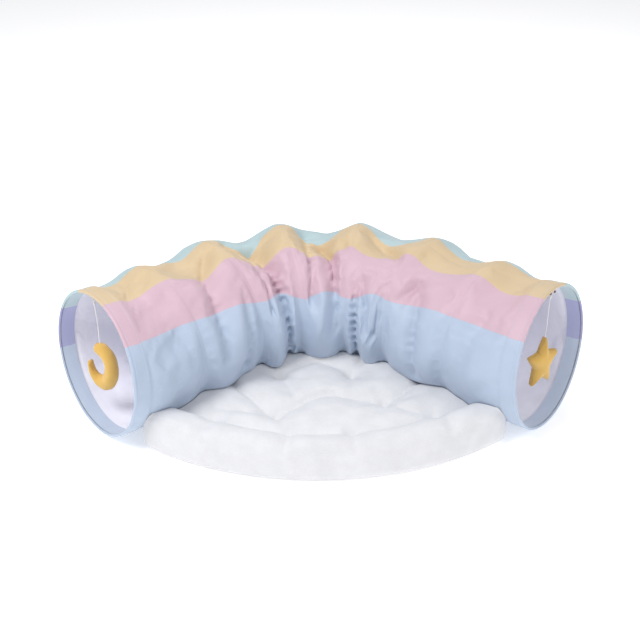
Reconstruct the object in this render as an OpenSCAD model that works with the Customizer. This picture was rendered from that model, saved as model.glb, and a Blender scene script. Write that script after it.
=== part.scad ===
// Curved fabric play tunnel for a small pet, with a padded mat in its bend
// and a soft toy hanging in each mouth.
// The origin lies on the floor, midway between the two mouths; +Y points to the back of the bend.

/* [Tunnel] */
// Outside diameter over the hoop channels
tunnel_d = 250; // [220:5:300]
// Length of one bay along the centreline, from hoop to hoop
bay_length = 131; // [120:1:150]
// Turn of the middle bay, in degrees
mid_turn = 26; // [20:1:27]
// Turn of the bay on each side of the middle one, in degrees
shoulder_turn = 26.5; // [20:0.5:27]
// Turn of the next bay outwards, in degrees
elbow_turn = 4; // [2:0.5:8]
// Lean of each mouth ring, its top leaning into the tunnel, in degrees
mouth_lean = 6; // [0:1:8]
// Turn of each mouth ring away from square, towards the front, in degrees
mouth_turn = 4.5; // [0:0.5:6]

/* [Hoops] */
// Diameter of the sprung steel wire in an inner hoop
wire_d = 2.6; // [2:0.2:3]
// Diameter of the wire at each mouth
mouth_wire_d = 3; // [2.4:0.2:3.4]
// Width of the sewn channel that holds an inner hoop
channel_w = 10; // [8:1:14]
// Width of the hem and of the striped facing at each mouth
hem_w = 28; // [22:1:32]

/* [Fabric] */
// Thickness of the printed cover
cover_t = 1.2; // [0.8:0.1:1.4]
// Thickness of the lining and facing
lining_t = 0.8; // [0.6:0.1:1]

/* [Mat] */
// Height of the quilted pad
pad_h = 58; // [50:1:64]
// Height of the bolster along the front
bolster_h = 72; // [64:1:80]
// Depth of the bolster, from front to back
bolster_depth = 62; // [50:1:75]
// Distance of the front edge from the origin
mat_front = 160; // [145:1:165]
// Radius of the curved front edge
front_r = 520; // [460:5:600]
// How far the bottom layer of the mat is tucked under the tunnel
tuck = 18; // [8:1:22]

/* [Toys] */
// Distance of the toy's tab from the rim
tab_depth = 12; // [10:1:16]
// Turn of the tab round the mouth, from its top towards the outside of the bend, in degrees
tab_turn = 10; // [0:1:12]
// Length of the cord between the tab and the toy
cord_length = 88; // [80:2:110]
// Diameter of the cord
cord_d = 1.6; // [1.2:0.2:2]
// Height of the moon
moon_h = 92; // [80:1:96]
// Width of the moon
moon_w = 56; // [48:1:72]
// Height of the star
star_h = 92; // [80:1:96]
// Width of the star
star_w = 62; // [52:1:96]
// Thickness of each toy
toy_t = 28; // [22:1:32]
// How far the moon has turned on its cord, in degrees
moon_turn = -26; // [-35:1:15]
// How far the star has turned on its cord, in degrees
star_turn = -20; // [-35:1:15]

/* [Hidden] */
$fn = 120;
BAYS = 7;
LAST = BAYS;
LEFT = -1;
RIGHT = 1;
hoops = [for (i = [1:BAYS - 1]) i];
bays = [for (b = [1:BAYS]) b];
// Hoops whose channel carries a fastening patch for the mat
patch_hoops = [2, 3, 4, 5];

gap = 0.3;                          // between pieces that only touch
proud = 1;                          // how far a channel stands out of the cover
tunnel_r = tunnel_d / 2;
cover_r = tunnel_r - proud;         // outside of the cover
lining_r = cover_r - cover_t - 1;   // outside of the lining
wire_slack = 0.2;
channel_t = 1.2;                    // fabric round a wire
mid_heading = mid_turn / 2;
shoulder_heading = mid_heading + shoulder_turn;
leg_heading = shoulder_heading + elbow_turn;
mouth_heading = leg_heading - mouth_turn;
far = 1000;

// Direction of the tunnel at hoop i, counted from the left mouth to the right one
function heading(i) =
    i > LAST / 2 ? -heading(LAST - i) : [leg_heading, leg_heading, shoulder_heading, mid_heading][i];
function is_straight(b) = b == 1 || b == BAYS;
// Radius of a curved bay's centreline
function bay_radius(b) = bay_length / ((heading(b - 1) - heading(b)) * PI / 180);
function bay_step(b) =
    is_straight(b) ? bay_length * [cos(heading(b)), sin(heading(b))]
    : bay_radius(b) * [sin(heading(b - 1)) - sin(heading(b)), cos(heading(b)) - cos(heading(b - 1))];
function travelled(i) = i == 0 ? [0, 0] : travelled(i - 1) + bay_step(i);
half_spread = travelled(LAST).x / 2;
// Centre of hoop i in plan
function hoop_at(i) = travelled(i) - [half_spread, 0];
// Centre that curved bay b turns about, in plan
function bay_centre(b) = hoop_at(b) + bay_radius(b) * [sin(heading(b)), -cos(heading(b))];

// A leaning mouth ring rests on the inner edge of its hem
mouth_z = tunnel_r * cos(mouth_lean) + hem_w * sin(mouth_lean);

// Local frame of hoop i: X along the tunnel, Z up
module at_hoop(i) {
    translate([hoop_at(i).x, hoop_at(i).y, tunnel_r])
        rotate([0, 0, heading(i)])
            children();
}

// Draws the left mouth's pieces, or the same pieces mirrored for the right mouth
module on_side(side) {
    if (side == LEFT)
        children();
    else
        mirror([1, 0, 0]) children();
}

// Local frame of the left mouth: X into the tunnel, Z up along the leaning ring
module at_mouth() {
    translate([hoop_at(0).x, hoop_at(0).y, mouth_z])
        rotate([0, 0, mouth_heading])
            rotate([0, mouth_lean, 0])
                children();
}

// Turns a profile (x = radius, y = along the tunnel) about the local X axis
module around_tunnel() {
    rotate([0, 90, 0])
        rotate([0, 0, 180])
            rotate_extrude() children();
}

// ---- Hoops and mouths ----

module hoop_wire(i) {
    color("silver")
        at_hoop(i)
            around_tunnel()
                translate([tunnel_r - channel_t - (wire_d + wire_slack) / 2, 0])
                    circle(d = wire_d, $fn = 32);
}

module hoop_channel(i) {
    bulge_d = wire_d + wire_slack + 2 * channel_t;
    seat_r = tunnel_r - bulge_d / 2;
    inner_r = lining_r - lining_t;
    color("lavenderblush")
        at_hoop(i)
            around_tunnel()
                difference() {
                    union() {
                        translate([seat_r, 0]) circle(d = bulge_d, $fn = 32);
                        translate([inner_r, -channel_w / 2]) square([cover_r - inner_r, channel_w]);
                    }
                    translate([seat_r, 0]) circle(d = wire_d + wire_slack, $fn = 32);
                }
}

rim_d = mouth_wire_d + wire_slack + 2 * channel_t;
rim_seat_r = tunnel_r - rim_d / 2;

module mouth_wire(side) {
    color("silver")
        on_side(side) at_mouth()
            around_tunnel()
                translate([rim_seat_r, rim_d / 2]) circle(d = mouth_wire_d, $fn = 32);
}

module hem(side) {
    color("lightblue")
        on_side(side) at_mouth()
            around_tunnel()
                difference() {
                    union() {
                        translate([rim_seat_r, rim_d / 2]) circle(d = rim_d, $fn = 32);
                        translate([cover_r - cover_t, rim_d / 2]) square([cover_t, hem_w - rim_d / 2]);
                    }
                    translate([rim_seat_r, rim_d / 2]) circle(d = mouth_wire_d + wire_slack, $fn = 32);
                }
}

module facing(side) {
    start = rim_d + gap;
    color("plum")
        on_side(side) at_mouth()
            around_tunnel()
                translate([lining_r - lining_t, start]) square([lining_t, hem_w - start]);
}

// ---- Fabric bays ----

// One bay of a fabric tube with outside radius r and thickness t
module bay_tube(b, r, t) {
    if (b == 1)
        end_tube(r, t);
    else if (b == BAYS)
        mirror([1, 0, 0]) end_tube(r, t);
    else
        curved_tube(b, r, t);
}

module curved_tube(b, r, t) {
    difference() {
        translate([bay_centre(b).x, bay_centre(b).y, tunnel_r])
            rotate([0, 0, heading(b) + 90])
                rotate_extrude(angle = heading(b - 1) - heading(b))
                    translate([bay_radius(b), 0])
                        difference() {
                            circle(r = r);
                            circle(r = r - t);
                        }
        for (i = [b - 1, b])
            at_hoop(i) cube([channel_w + 2 * gap, 2 * far, 2 * far], center = true);
    }
}

module end_tube(r, t) {
    difference() {
        at_hoop(1)
            translate([-channel_w / 2 - gap, 0, 0])
                rotate([0, -90, 0])
                    difference() {
                        cylinder(r = r, h = bay_length + hem_w);
                        translate([0, 0, -1]) cylinder(r = r - t, h = bay_length + hem_w + 2);
                    }
        at_mouth()
            translate([hem_w + gap - far, -far / 2, -far / 2]) cube(far);
    }
}

module cover(b) {
    color(b % 2 == 0 ? "pink" : "lightskyblue") bay_tube(b, cover_r, cover_t);
}

module lining(b) {
    color("white") bay_tube(b, lining_r, lining_t);
}

// ---- Mat ----

// Plan of the space between the legs of the tunnel, set off from the centreline by `off`
module bend_plan(off) {
    difference() {
        polygon([
            hoop_at(0) + off * [sin(leg_heading), -cos(leg_heading)] - 100 * [cos(leg_heading), sin(leg_heading)],
            hoop_at(1) + off * [sin(leg_heading), -cos(leg_heading)],
            [hoop_at(1).x, hoop_at(3).y],
            [hoop_at(6).x, hoop_at(4).y],
            hoop_at(6) + off * [-sin(leg_heading), -cos(leg_heading)],
            hoop_at(LAST) + off * [-sin(leg_heading), -cos(leg_heading)] - 100 * [-cos(leg_heading), sin(leg_heading)]
        ]);
        for (b = [2:BAYS - 1])
            sector_outside(b, bay_radius(b) - off);
    }
}

// The part of curved bay b's sector that lies further from its centre than r
module sector_outside(b, r) {
    reach = 3 * tunnel_r;
    overlap = 0.5;
    a1 = heading(b) + 90 - overlap;
    a2 = heading(b - 1) + 90 + overlap;
    translate(bay_centre(b))
        difference() {
            polygon([
                [0, 0],
                (r + reach) * [cos(a1), sin(a1)],
                (r + reach) * 1.1 * [cos((a1 + a2) / 2), sin((a1 + a2) / 2)],
                (r + reach) * [cos(a2), sin(a2)]
            ]);
            circle(r = r, $fn = 360);
        }
}

// Plan of the mat: `off` from the tunnel's centreline, and `inset` inside the front edge
module mat_plan(off, inset) {
    intersection() {
        bend_plan(off);
        translate([0, front_r - mat_front]) circle(r = front_r - inset, $fn = 360);
    }
}

base_t = 1.5;
skin_t = 1.5;
tuck_top = 36;                      // height of the layer tucked under the tunnel
side_off = tunnel_r + 4;            // upper layer, beside the tunnel's widest line
tuck_off = side_off - tuck;         // bottom layer, under the tunnel's curve
bolster_back_r = front_r - bolster_depth;

// Outer shape of the mat above its base, drawn `inside` millimetres smaller all round
module mat_solid(inside) {
    bottom = base_t + inside;
    translate([0, 0, bottom])
        linear_extrude(tuck_top - inside - bottom) mat_plan(tuck_off + inside, inside);
    translate([0, 0, bottom])
        linear_extrude(pad_h - inside - bottom) mat_plan(side_off + inside, inside);
    translate([0, 0, bottom])
        linear_extrude(bolster_h - inside - bottom) bolster_plan(inside);
}

// Plan of the bolster along the front edge
module bolster_plan(inside) {
    difference() {
        mat_plan(side_off + inside, inside);
        translate([0, front_r - mat_front]) circle(r = bolster_back_r + inside, $fn = 360);
    }
}

module mat_cover() {
    color("white")
        difference() {
            mat_solid(0);
            mat_solid(skin_t);
        }
}

module mat_base() {
    color("gainsboro")
        linear_extrude(base_t) mat_plan(tuck_off, 0);
}

fill_gap = skin_t + gap;

module pad_filling() {
    color("snow")
        difference() {
            intersection() {
                mat_solid(fill_gap);
                linear_extrude(pad_h - fill_gap) square(far, center = true);
            }
            translate([0, 0, -1]) linear_extrude(far) bolster_cut(0);
        }
}

module bolster_filling() {
    color("snow")
        difference() {
            mat_solid(fill_gap);
            translate([0, front_r - mat_front, -1]) cylinder(r = bolster_back_r + gap, h = far, $fn = 360);
        }
}

// Everything in front of the seam between the pad and the bolster
module bolster_cut(clear) {
    difference() {
        square(far, center = true);
        translate([0, front_r - mat_front]) circle(r = bolster_back_r - clear, $fn = 360);
    }
}

// Quilting tufts: two at the back of the pad, two on its middle, and a row along the bolster's seam
pad_tufts = [[-74, 76], [49, 73], [-82, -38], [97, -8]];
seam_tuft_xs = [-182, -58, 40, 174];
function on_seam(x) = [x, front_r - mat_front - sqrt(pow(bolster_back_r - 8, 2) - x * x)];
tuft_places = concat(pad_tufts, [for (x = seam_tuft_xs) on_seam(x)]);

module mat_tufts() {
    color("whitesmoke")
        for (p = tuft_places)
            translate([p.x, p.y, pad_h + 0.1]) cylinder(d = 7, h = 1.4, $fn = 24);
}

// ---- Fastening between mat and tunnel ----

patch_angle = -40;                  // round the tunnel, below its widest line
patch_w = 12;
patch_l = 24;
patch_t = 1.2;

// Frame on the inner side of channel i: X along the tunnel, Z out of the channel
module at_patch(i) {
    at_hoop(i)
        rotate([90 - patch_angle, 0, 0])
            translate([0, 0, tunnel_r])
                children();
}

module loop_patch(i) {
    color("white")
        at_patch(i)
            translate([-patch_w / 2, -patch_l / 2, 0]) cube([patch_w, patch_l, patch_t]);
}

// A webbing tab against each patch, with a foot sewn flat on the mat's tucked layer
module mat_tabs() {
    tab_t = 1.4;
    foot_start = (tunnel_r + patch_t) * cos(patch_angle) - 5;
    color("white")
        for (i = patch_hoops) {
            at_patch(i)
                translate([-patch_w / 2, -patch_l / 2, patch_t + gap]) cube([patch_w, patch_l, tab_t]);
            at_hoop(i)
                rotate([0, 0, -90])
                    translate([foot_start, -patch_w / 2, tuck_top + 0.1 - tunnel_r])
                        cube([side_off - 1 - foot_start, patch_w, tab_t]);
        }
}

// ---- Hanging toys ----

eye_drop = 8;                       // from the facing down to the centre of the tab's eye
eye_d = 4;
loop_r = 5;                         // loop of cord through the eye
facing_r = lining_r - lining_t;

// The tab's frame: Z out to the rim through the tab, with the eye at the origin
module at_tab() {
    at_mouth()
        rotate([-tab_turn, 0, 0])
            translate([tab_depth, 0, facing_r - eye_drop])
                children();
}

// The same place with Z straight up
module at_eye() {
    at_tab()
        rotate([tab_turn, 0, 0])
            rotate([0, -mouth_lean, 0])
                children();
}

module toy_tab(side) {
    w = 9;
    t = 1.6;
    color("white")
        on_side(side) at_tab()
            rotate([90, 0, 0])
                difference() {
                    union() {
                        cylinder(d = w, h = t, center = true, $fn = 48);
                        translate([-w / 2, 0, -t / 2]) cube([w, eye_drop - gap, t]);
                    }
                    cylinder(d = eye_d, h = 2 * t, center = true, $fn = 48);
                }
}

// Cord with its loop through the eye and a knot under the loop
module toy_cord(side) {
    knot_d = 4;
    color("white")
        on_side(side) at_eye() {
            translate([0, 0, -loop_r])
                rotate([0, 90, 0])
                    rotate_extrude() translate([loop_r, 0]) circle(d = cord_d, $fn = 24);
            translate([0, 0, -2 * loop_r - knot_d / 2]) sphere(d = knot_d, $fn = 32);
            translate([0, 0, -cord_length]) cylinder(d = cord_d, h = cord_length - 2 * loop_r, $fn = 24);
        }
}

// Frame at the top of a hanging toy: X across the mouth, Y up, Z out of the mouth
module at_toy(side) {
    on_side(side) at_eye()
        translate([0, 0, -cord_length - gap])
            rotate([90, 0, -90 - (side == LEFT ? moon_turn : star_turn)])
                children();
}

// A fat crescent whose horns nearly meet
module moon_plush() {
    r = moon_h / 2;
    bite_r = 0.3 * r;
    color("goldenrod")
        at_toy(LEFT)
            translate([0, -r, -toy_t / 2])
                linear_extrude(toy_t)
                    scale([moon_w / moon_h, 1])
                        difference() {
                            circle(r = r);
                            for (y = [-0.2 * r, 0.25 * r])
                                translate([-0.3 * r, y]) circle(r = bite_r);
                            translate([-0.6 * r, -0.2 * r]) square([2 * bite_r, 0.45 * r]);
                            translate([-1.2 * r, 0.05 * r]) square([0.9 * r, 0.35 * r]);
                        }
}

module star_plush() {
    r = star_h / (1 + cos(36));
    inner_r = 0.52 * r;
    color("goldenrod")
        at_toy(RIGHT)
            translate([0, -r, -toy_t / 2])
                linear_extrude(toy_t)
                    scale([star_w / (2 * r * sin(72)), 1])
                        polygon([
                            for (k = [0:9])
                                (k % 2 == 0 ? r : inner_r) * [sin(36 * k), cos(36 * k)]
                        ]);
}

mouth_wire(LEFT);  // mouth_wire_left
mouth_wire(RIGHT);  // mouth_wire_right
hem(LEFT);  // hem_left
hem(RIGHT);  // hem_right
facing(LEFT);  // facing_left
facing(RIGHT);  // facing_right
for (i = hoops) hoop_wire(i);
for (i = hoops) hoop_channel(i);
for (b = bays) cover(b);
for (b = bays) lining(b);
for (i = patch_hoops) loop_patch(i);
mat_cover();
mat_base();
pad_filling();
bolster_filling();
mat_tufts();
mat_tabs();
toy_tab(LEFT);  // moon_tab
toy_cord(LEFT);  // moon_cord
moon_plush();
toy_tab(RIGHT);  // star_tab
toy_cord(RIGHT);  // star_cord
star_plush();
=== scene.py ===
"""Looks of a curved fabric play tunnel for a cat, with a mat in its bend and a soft toy in each mouth.

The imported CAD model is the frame, in metres, +Z up: the pieces are built and placed from its nodes.
Folds, stripes, tufts and the mat's height have values of their own below.
The cover and the mat's cover are modelled with their folds, and a cloth simulation then settles them by
a few millimetres. The lining is a smoothed copy of the settled cover. The rest is mesh work.
"""
import math

import bmesh
import bpy
import numpy as np
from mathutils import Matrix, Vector, noise
from mathutils.bvhtree import BVHTree


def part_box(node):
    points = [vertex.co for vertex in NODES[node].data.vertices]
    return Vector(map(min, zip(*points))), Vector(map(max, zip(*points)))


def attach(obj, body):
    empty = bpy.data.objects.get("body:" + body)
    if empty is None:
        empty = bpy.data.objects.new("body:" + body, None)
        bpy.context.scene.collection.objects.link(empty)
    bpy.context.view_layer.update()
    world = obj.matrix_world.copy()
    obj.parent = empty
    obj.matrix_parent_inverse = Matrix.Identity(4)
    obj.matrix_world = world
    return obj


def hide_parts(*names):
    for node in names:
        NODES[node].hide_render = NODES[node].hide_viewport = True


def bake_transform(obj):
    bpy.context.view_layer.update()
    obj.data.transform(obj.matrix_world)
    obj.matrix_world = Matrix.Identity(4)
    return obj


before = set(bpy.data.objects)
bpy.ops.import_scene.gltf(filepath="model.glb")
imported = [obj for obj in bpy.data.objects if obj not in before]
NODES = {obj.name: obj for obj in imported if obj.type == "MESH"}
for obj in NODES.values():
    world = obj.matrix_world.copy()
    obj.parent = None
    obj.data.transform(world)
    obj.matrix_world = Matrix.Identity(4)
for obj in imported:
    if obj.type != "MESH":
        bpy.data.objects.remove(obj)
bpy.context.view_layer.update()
SCENE = bpy.context.scene
MM = 0.001

# ---- Sizes ----
BAYS = 7
HEM_W = 28 * MM                 # turned hem at each mouth
RIM_R = 2.9 * MM                # radius of the rolled rim round its wire
FACING_START = 4 * MM           # the facing begins this far in from the rim
FACING_DROP = 3.6 * MM          # and lies this far inside the tunnel's outer line there
FACING_LEAN = 1.6 * MM          # it leans in by so much more
FACING_LEAN_LENGTH = 14 * MM    # over this length
FACING_T = 0.8 * MM
FACING_ROWS = 7
COVER_T = 0.9 * MM
LINING_T = 0.7 * MM
LINING_GAP = 1.0 * MM           # between cover and lining
BAND_HALF = 6 * MM              # half the width of a hoop's channel
HOLD = (0.1 * MM, 3.5 * MM)     # rows of fabric held at a hoop, measured from the hoop
HOLD_DROP = -0.2 * MM           # held rows lie this far inside the channel's outer line
HEM_DROP = 1.6 * MM             # the same, under a hem
LINING_DIP = 3.2 * MM           # how far the lining is pushed in by the channel at a hoop
UNDER_HEM = (21 * MM, 25 * MM)  # rows held under a hem, measured from the rim
AROUND = 104                    # points round the fabric in the simulation
ALONG = 19                      # free rows in a bay
SPARE = 1.012                   # cloth's cut length over the length of its large folds
SETTLE_CAP = 5 * MM             # furthest that a point of the fabric may settle from its start


# ---- Vectors and rings ----
def unit(v):
    return v / np.linalg.norm(v)


def cross_frame(tangent):
    """Unit vectors square to the tunnel's direction: towards the mat's side, and up."""
    side = unit(np.cross(tangent, (0, 0, 1)))
    return side, np.cross(side, tangent)


def ring_of(node):
    """(centre, direction, radius) of a wire hoop. The direction runs from the left mouth to the right."""
    co = np.array([v.co for v in NODES[node].data.vertices], float)
    normal = np.linalg.svd(co - co.mean(0), full_matrices=False)[2][2]
    normal = normal * np.sign(normal[0])
    side, up = cross_frame(normal)
    mid = [((co @ d).max() + (co @ d).min()) / 2 for d in (side, up, normal)]
    centre = mid[0] * side + mid[1] * up + mid[2] * normal
    return centre, normal, (co @ side).max() - mid[0]


LEFT, RIGHT = -1, 1
WIRES = [ring_of("mouth_wire_left")] + [ring_of(f"hoop_wire_{i}") for i in range(1, BAYS)]
WIRES.append(ring_of("mouth_wire_right"))
TUBE_R = 125 * MM
HOOP_BODY = ["mouth_left"] + [f"hoop_{i}" for i in range(1, BAYS)] + ["mouth_right"]


def rim(side):
    """(centre of the rim's outer plane, direction into the tunnel) at a mouth."""
    centre, direction, _ = WIRES[0 if side == LEFT else BAYS]
    inward = direction if side == LEFT else -direction
    return centre - inward * RIM_R, inward


def hermite(a, b, ta, tb, s):
    """Point at share s of a smooth curve from a to b, with end tangents ta and tb."""
    return ((2 * s**3 - 3 * s**2 + 1) * a + (s**3 - 2 * s**2 + s) * ta
            + (3 * s**2 - 2 * s**3) * b + (s**3 - s**2) * tb)


class Bay:
    """The centreline between two neighbouring rings, b - 1 and b."""

    def __init__(self, b):
        self.b = b
        start, end = WIRES[b - 1], WIRES[b]
        self.a, self.ta = start[0], start[1]
        self.z, self.tz = end[0], end[1]
        self.margins = [list(HOLD), list(HOLD)]
        if b == 1:
            self.a = rim(LEFT)[0]
            self.margins[0] = list(UNDER_HEM)
        if b == BAYS:
            self.z = rim(RIGHT)[0]
            self.margins[1] = list(UNDER_HEM)
        self.length = float(np.linalg.norm(self.z - self.a))

    def at(self, s):
        """(centre, direction) at share s of the bay."""
        def spot(q):
            return hermite(self.a, self.z, self.ta * self.length, self.tz * self.length, q)
        step = 0.004
        return spot(s), unit(spot(min(1, s + step)) - spot(max(0, s - step)))


BAY = {b: Bay(b) for b in range(1, BAYS + 1)}


# ---- Meshes ----
def link(obj):
    SCENE.collection.objects.link(obj)
    return obj


def mesh_object(name, verts, faces, uv=None, smooth=True):
    """A mesh object. uv holds one (u, v) for each corner of each face."""
    mesh = bpy.data.meshes.new(name)
    mesh.from_pydata([tuple(v) for v in np.asarray(verts, float)], [], faces)
    if uv is not None:
        layer = mesh.uv_layers.new(name="UVMap")
        layer.data.foreach_set("uv", np.asarray(uv, np.float32).ravel())
    if smooth:
        mesh.polygons.foreach_set("use_smooth", np.ones(len(mesh.polygons), bool))
    mesh.update()
    return link(bpy.data.objects.new(name, mesh))


def paint(obj, *materials):
    obj.data.materials.clear()
    for m in materials:
        obj.data.materials.append(m)
    return obj


def finer(grid):
    """A grid of points with twice the rows and columns. Its second axis closes on itself."""
    def widen(g, closed):
        n = len(g)
        if closed:
            prev, nxt, far = np.roll(g, 1, 0), np.roll(g, -1, 0), np.roll(g, -2, 0)
            half = (-prev + 9 * g + 9 * nxt - far) / 16
            out = np.empty((2 * n,) + g.shape[1:])
            out[0::2], out[1::2] = g, half
            return out
        ends = np.concatenate([2 * g[:1] - g[1:2], g, 2 * g[-1:] - g[-2:-1]])
        half = (-ends[:-3] + 9 * ends[1:-2] + 9 * ends[2:-1] - ends[3:]) / 16
        out = np.empty((2 * n - 1,) + g.shape[1:])
        out[0::2], out[1::2] = g, half
        return out
    grid = widen(grid, closed=False)
    return widen(grid.swapaxes(0, 1), closed=True).swapaxes(0, 1)


def grid_normals(grid):
    """Outward unit normals of a tube's grid of points."""
    along = np.gradient(grid, axis=0)
    round_ = np.roll(grid, -1, 1) - np.roll(grid, 1, 1)
    n = np.cross(round_, along)
    n /= np.linalg.norm(n, axis=2, keepdims=True) + 1e-12
    return n * turns_outward(grid, n)


def turns_outward(grid, normals):
    """1 if the normals point away from the tube's middle, and -1 if they point into it."""
    return np.sign(((grid - grid.mean(1, keepdims=True)) * normals).sum())


def sheet_tube(name, outer, inner, u, v):
    """A closed tube of cloth between two grids of points. u runs along it and v round it, both in metres."""
    rows, cols = outer.shape[:2]
    verts = np.concatenate([outer.reshape(-1, 3), inner.reshape(-1, 3)])
    faces, uv = [], []
    raw = np.cross(np.roll(outer, -1, 1) - outer, np.gradient(outer, axis=0))
    order = int(turns_outward(outer, raw))

    def corner(side, j, k):
        return side * rows * cols + j * cols + k % cols

    round_once = V_ROUND * np.sign(v[0, 1] - v[0, 0])

    def coords(j, k):
        return (u[j], v[j, k] if k < cols else v[j, 0] + round_once)

    for j in range(rows - 1):
        for k in range(cols):
            ring = [(j, k), (j, k + 1), (j + 1, k + 1), (j + 1, k)][::order]
            faces.append([corner(0, *q) for q in ring])
            uv += [coords(*q) for q in ring]
            faces.append([corner(1, *q) for q in ring[::-1]])
            uv += [coords(*q) for q in ring[::-1]]
    for j, turn in ((0, order), (rows - 1, -order)):
        for k in range(cols):
            ring = [(0, j, k), (1, j, k), (1, j, k + 1), (0, j, k + 1)][::turn]
            faces.append([corner(*q) for q in ring])
            uv += [coords(*q[1:]) for q in ring]
    obj = mesh_object(name, verts, faces, uv)
    normals = np.concatenate([grid_normals(outer).reshape(-1, 3), -grid_normals(inner).reshape(-1, 3)])
    obj.data.normals_split_custom_set_from_vertices([tuple(n) for n in normals])
    return obj


# ---- Stripes ----
V_ROUND = 2 * math.pi * TUBE_R          # once round the tunnel, in metres
SEAM_DEG = -160                         # the print's own seam, on the underside
# Where each stripe ends, in degrees round the tunnel from the mat's side over the top
STRIPES = (
    ("blue", 38, (0.47, 0.56, 0.70)),
    ("pink", 76, (0.66, 0.46, 0.54)),
    ("yellow", 112, (0.69, 0.53, 0.33)),
    ("mint", 152, (0.46, 0.60, 0.63)),
    ("purple", 191, (0.34, 0.35, 0.60)),
    ("blue again", 200, (0.47, 0.56, 0.70)),
)
TWIST_DEG = -13                         # how far the cloth has turned at the middle of the bend
WANDER_DEG = -3                         # how far the gathers draw the stripes to and fro


def twist(position):
    """Turn of the print at a place along the tunnel, from 0 at one rim to 1 at the other, in degrees."""
    bell = math.sin(math.pi * position) ** 2
    return bell * (TWIST_DEG + WANDER_DEG * math.cos(2 * math.pi * (BAYS * position - 0.1)))


def v_at(angle_deg, position):
    """The print's coordinate round the tunnel, in metres."""
    turned = angle_deg - twist(position) - SEAM_DEG
    return (turned % 360) / 360 * V_ROUND


def v_round(position, cols):
    """The print's coordinate at each point round the tunnel. On top, sagging bays draw it forward."""
    angles = 2 * math.pi * np.arange(cols) / cols
    on_top = np.maximum(0, np.sin(angles)) ** 6
    drawn = math.sin(math.pi * position) ** 2 * (3 - 13 * math.cos(2 * math.pi * BAYS * position))
    return v_at(0, position) + V_ROUND * (np.arange(cols) / cols + on_top * drawn / 360)


# ---- Materials ----
class Nodes:
    """Short hand for building one material's node tree."""

    def __init__(self, name, **shader):
        self.material = bpy.data.materials.new(name)
        self.material.use_nodes = True
        self.tree = self.material.node_tree
        self.shader = self.tree.nodes["Principled BSDF"]
        for key, value in shader.items():
            self.shader.inputs[key.replace("_", " ").title().replace("Ior", "IOR")].default_value = value

    def add(self, kind, **settings):
        node = self.tree.nodes.new(kind)
        for key, value in settings.items():
            if key in node.bl_rna.properties:
                setattr(node, key, value)
            else:
                node.inputs[key].default_value = value
        return node

    def wire(self, source, target):
        self.tree.links.new(source, target)

    def math(self, operation, a, b=0.0):
        node = self.add("ShaderNodeMath", operation=operation)
        for socket, value in zip(node.inputs, (a, b)):
            if isinstance(value, (int, float)):
                socket.default_value = value
            else:
                self.wire(value, socket)
        return node.outputs[0]

    def mix(self, kind, share, a, b):
        node = self.add("ShaderNodeMix", data_type="RGBA", blend_type=kind)
        for socket, value in ((node.inputs["Factor"], share), (node.inputs["A"], a), (node.inputs["B"], b)):
            if isinstance(value, (int, float)):
                socket.default_value = value
            elif isinstance(value, tuple):
                socket.default_value = (*value, 1) if len(value) == 3 else value
            else:
                self.wire(value, socket)
        return [o for o in node.outputs if o.type == "RGBA"][0]

    def noise(self, where, scale, detail=3, roughness=0.5):
        node = self.add("ShaderNodeTexNoise", Scale=scale, Detail=detail, Roughness=roughness)
        self.wire(where, node.inputs["Vector"])
        return node.outputs["Fac"]

    def ramp(self, value, stops, constant=False):
        node = self.add("ShaderNodeValToRGB")
        node.color_ramp.interpolation = "CONSTANT" if constant else "LINEAR"
        while len(node.color_ramp.elements) < len(stops):
            node.color_ramp.elements.new(1)
        for element, (place, colour) in zip(node.color_ramp.elements, stops):
            element.position = place
            element.color = (*colour, 1)
        self.wire(value, node.inputs["Fac"])
        return node.outputs["Color"]

    def bump(self, height, distance, strength=1.0, under=None):
        node = self.add("ShaderNodeBump", Distance=distance, Strength=strength)
        self.wire(height, node.inputs["Height"])
        if under is not None:
            self.wire(under, node.inputs["Normal"])
        return node.outputs["Normal"]

    def done(self, colour=None, normal=None, roughness=None):
        for value, name in ((colour, "Base Color"), (normal, "Normal"), (roughness, "Roughness")):
            if value is not None:
                self.wire(value, self.shader.inputs[name])
        return self.material


def weave(n, where, pitch):
    """Height of a plain weave with threads a pitch apart, in the coordinates given."""
    split = n.add("ShaderNodeSeparateXYZ")
    n.wire(where, split.inputs[0])
    turn = 2 * math.pi / pitch
    across = n.math("SINE", n.math("MULTIPLY", split.outputs[0], turn))
    down = n.math("SINE", n.math("MULTIPLY", split.outputs[1], turn))
    return n.math("MULTIPLY", across, down)


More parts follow.
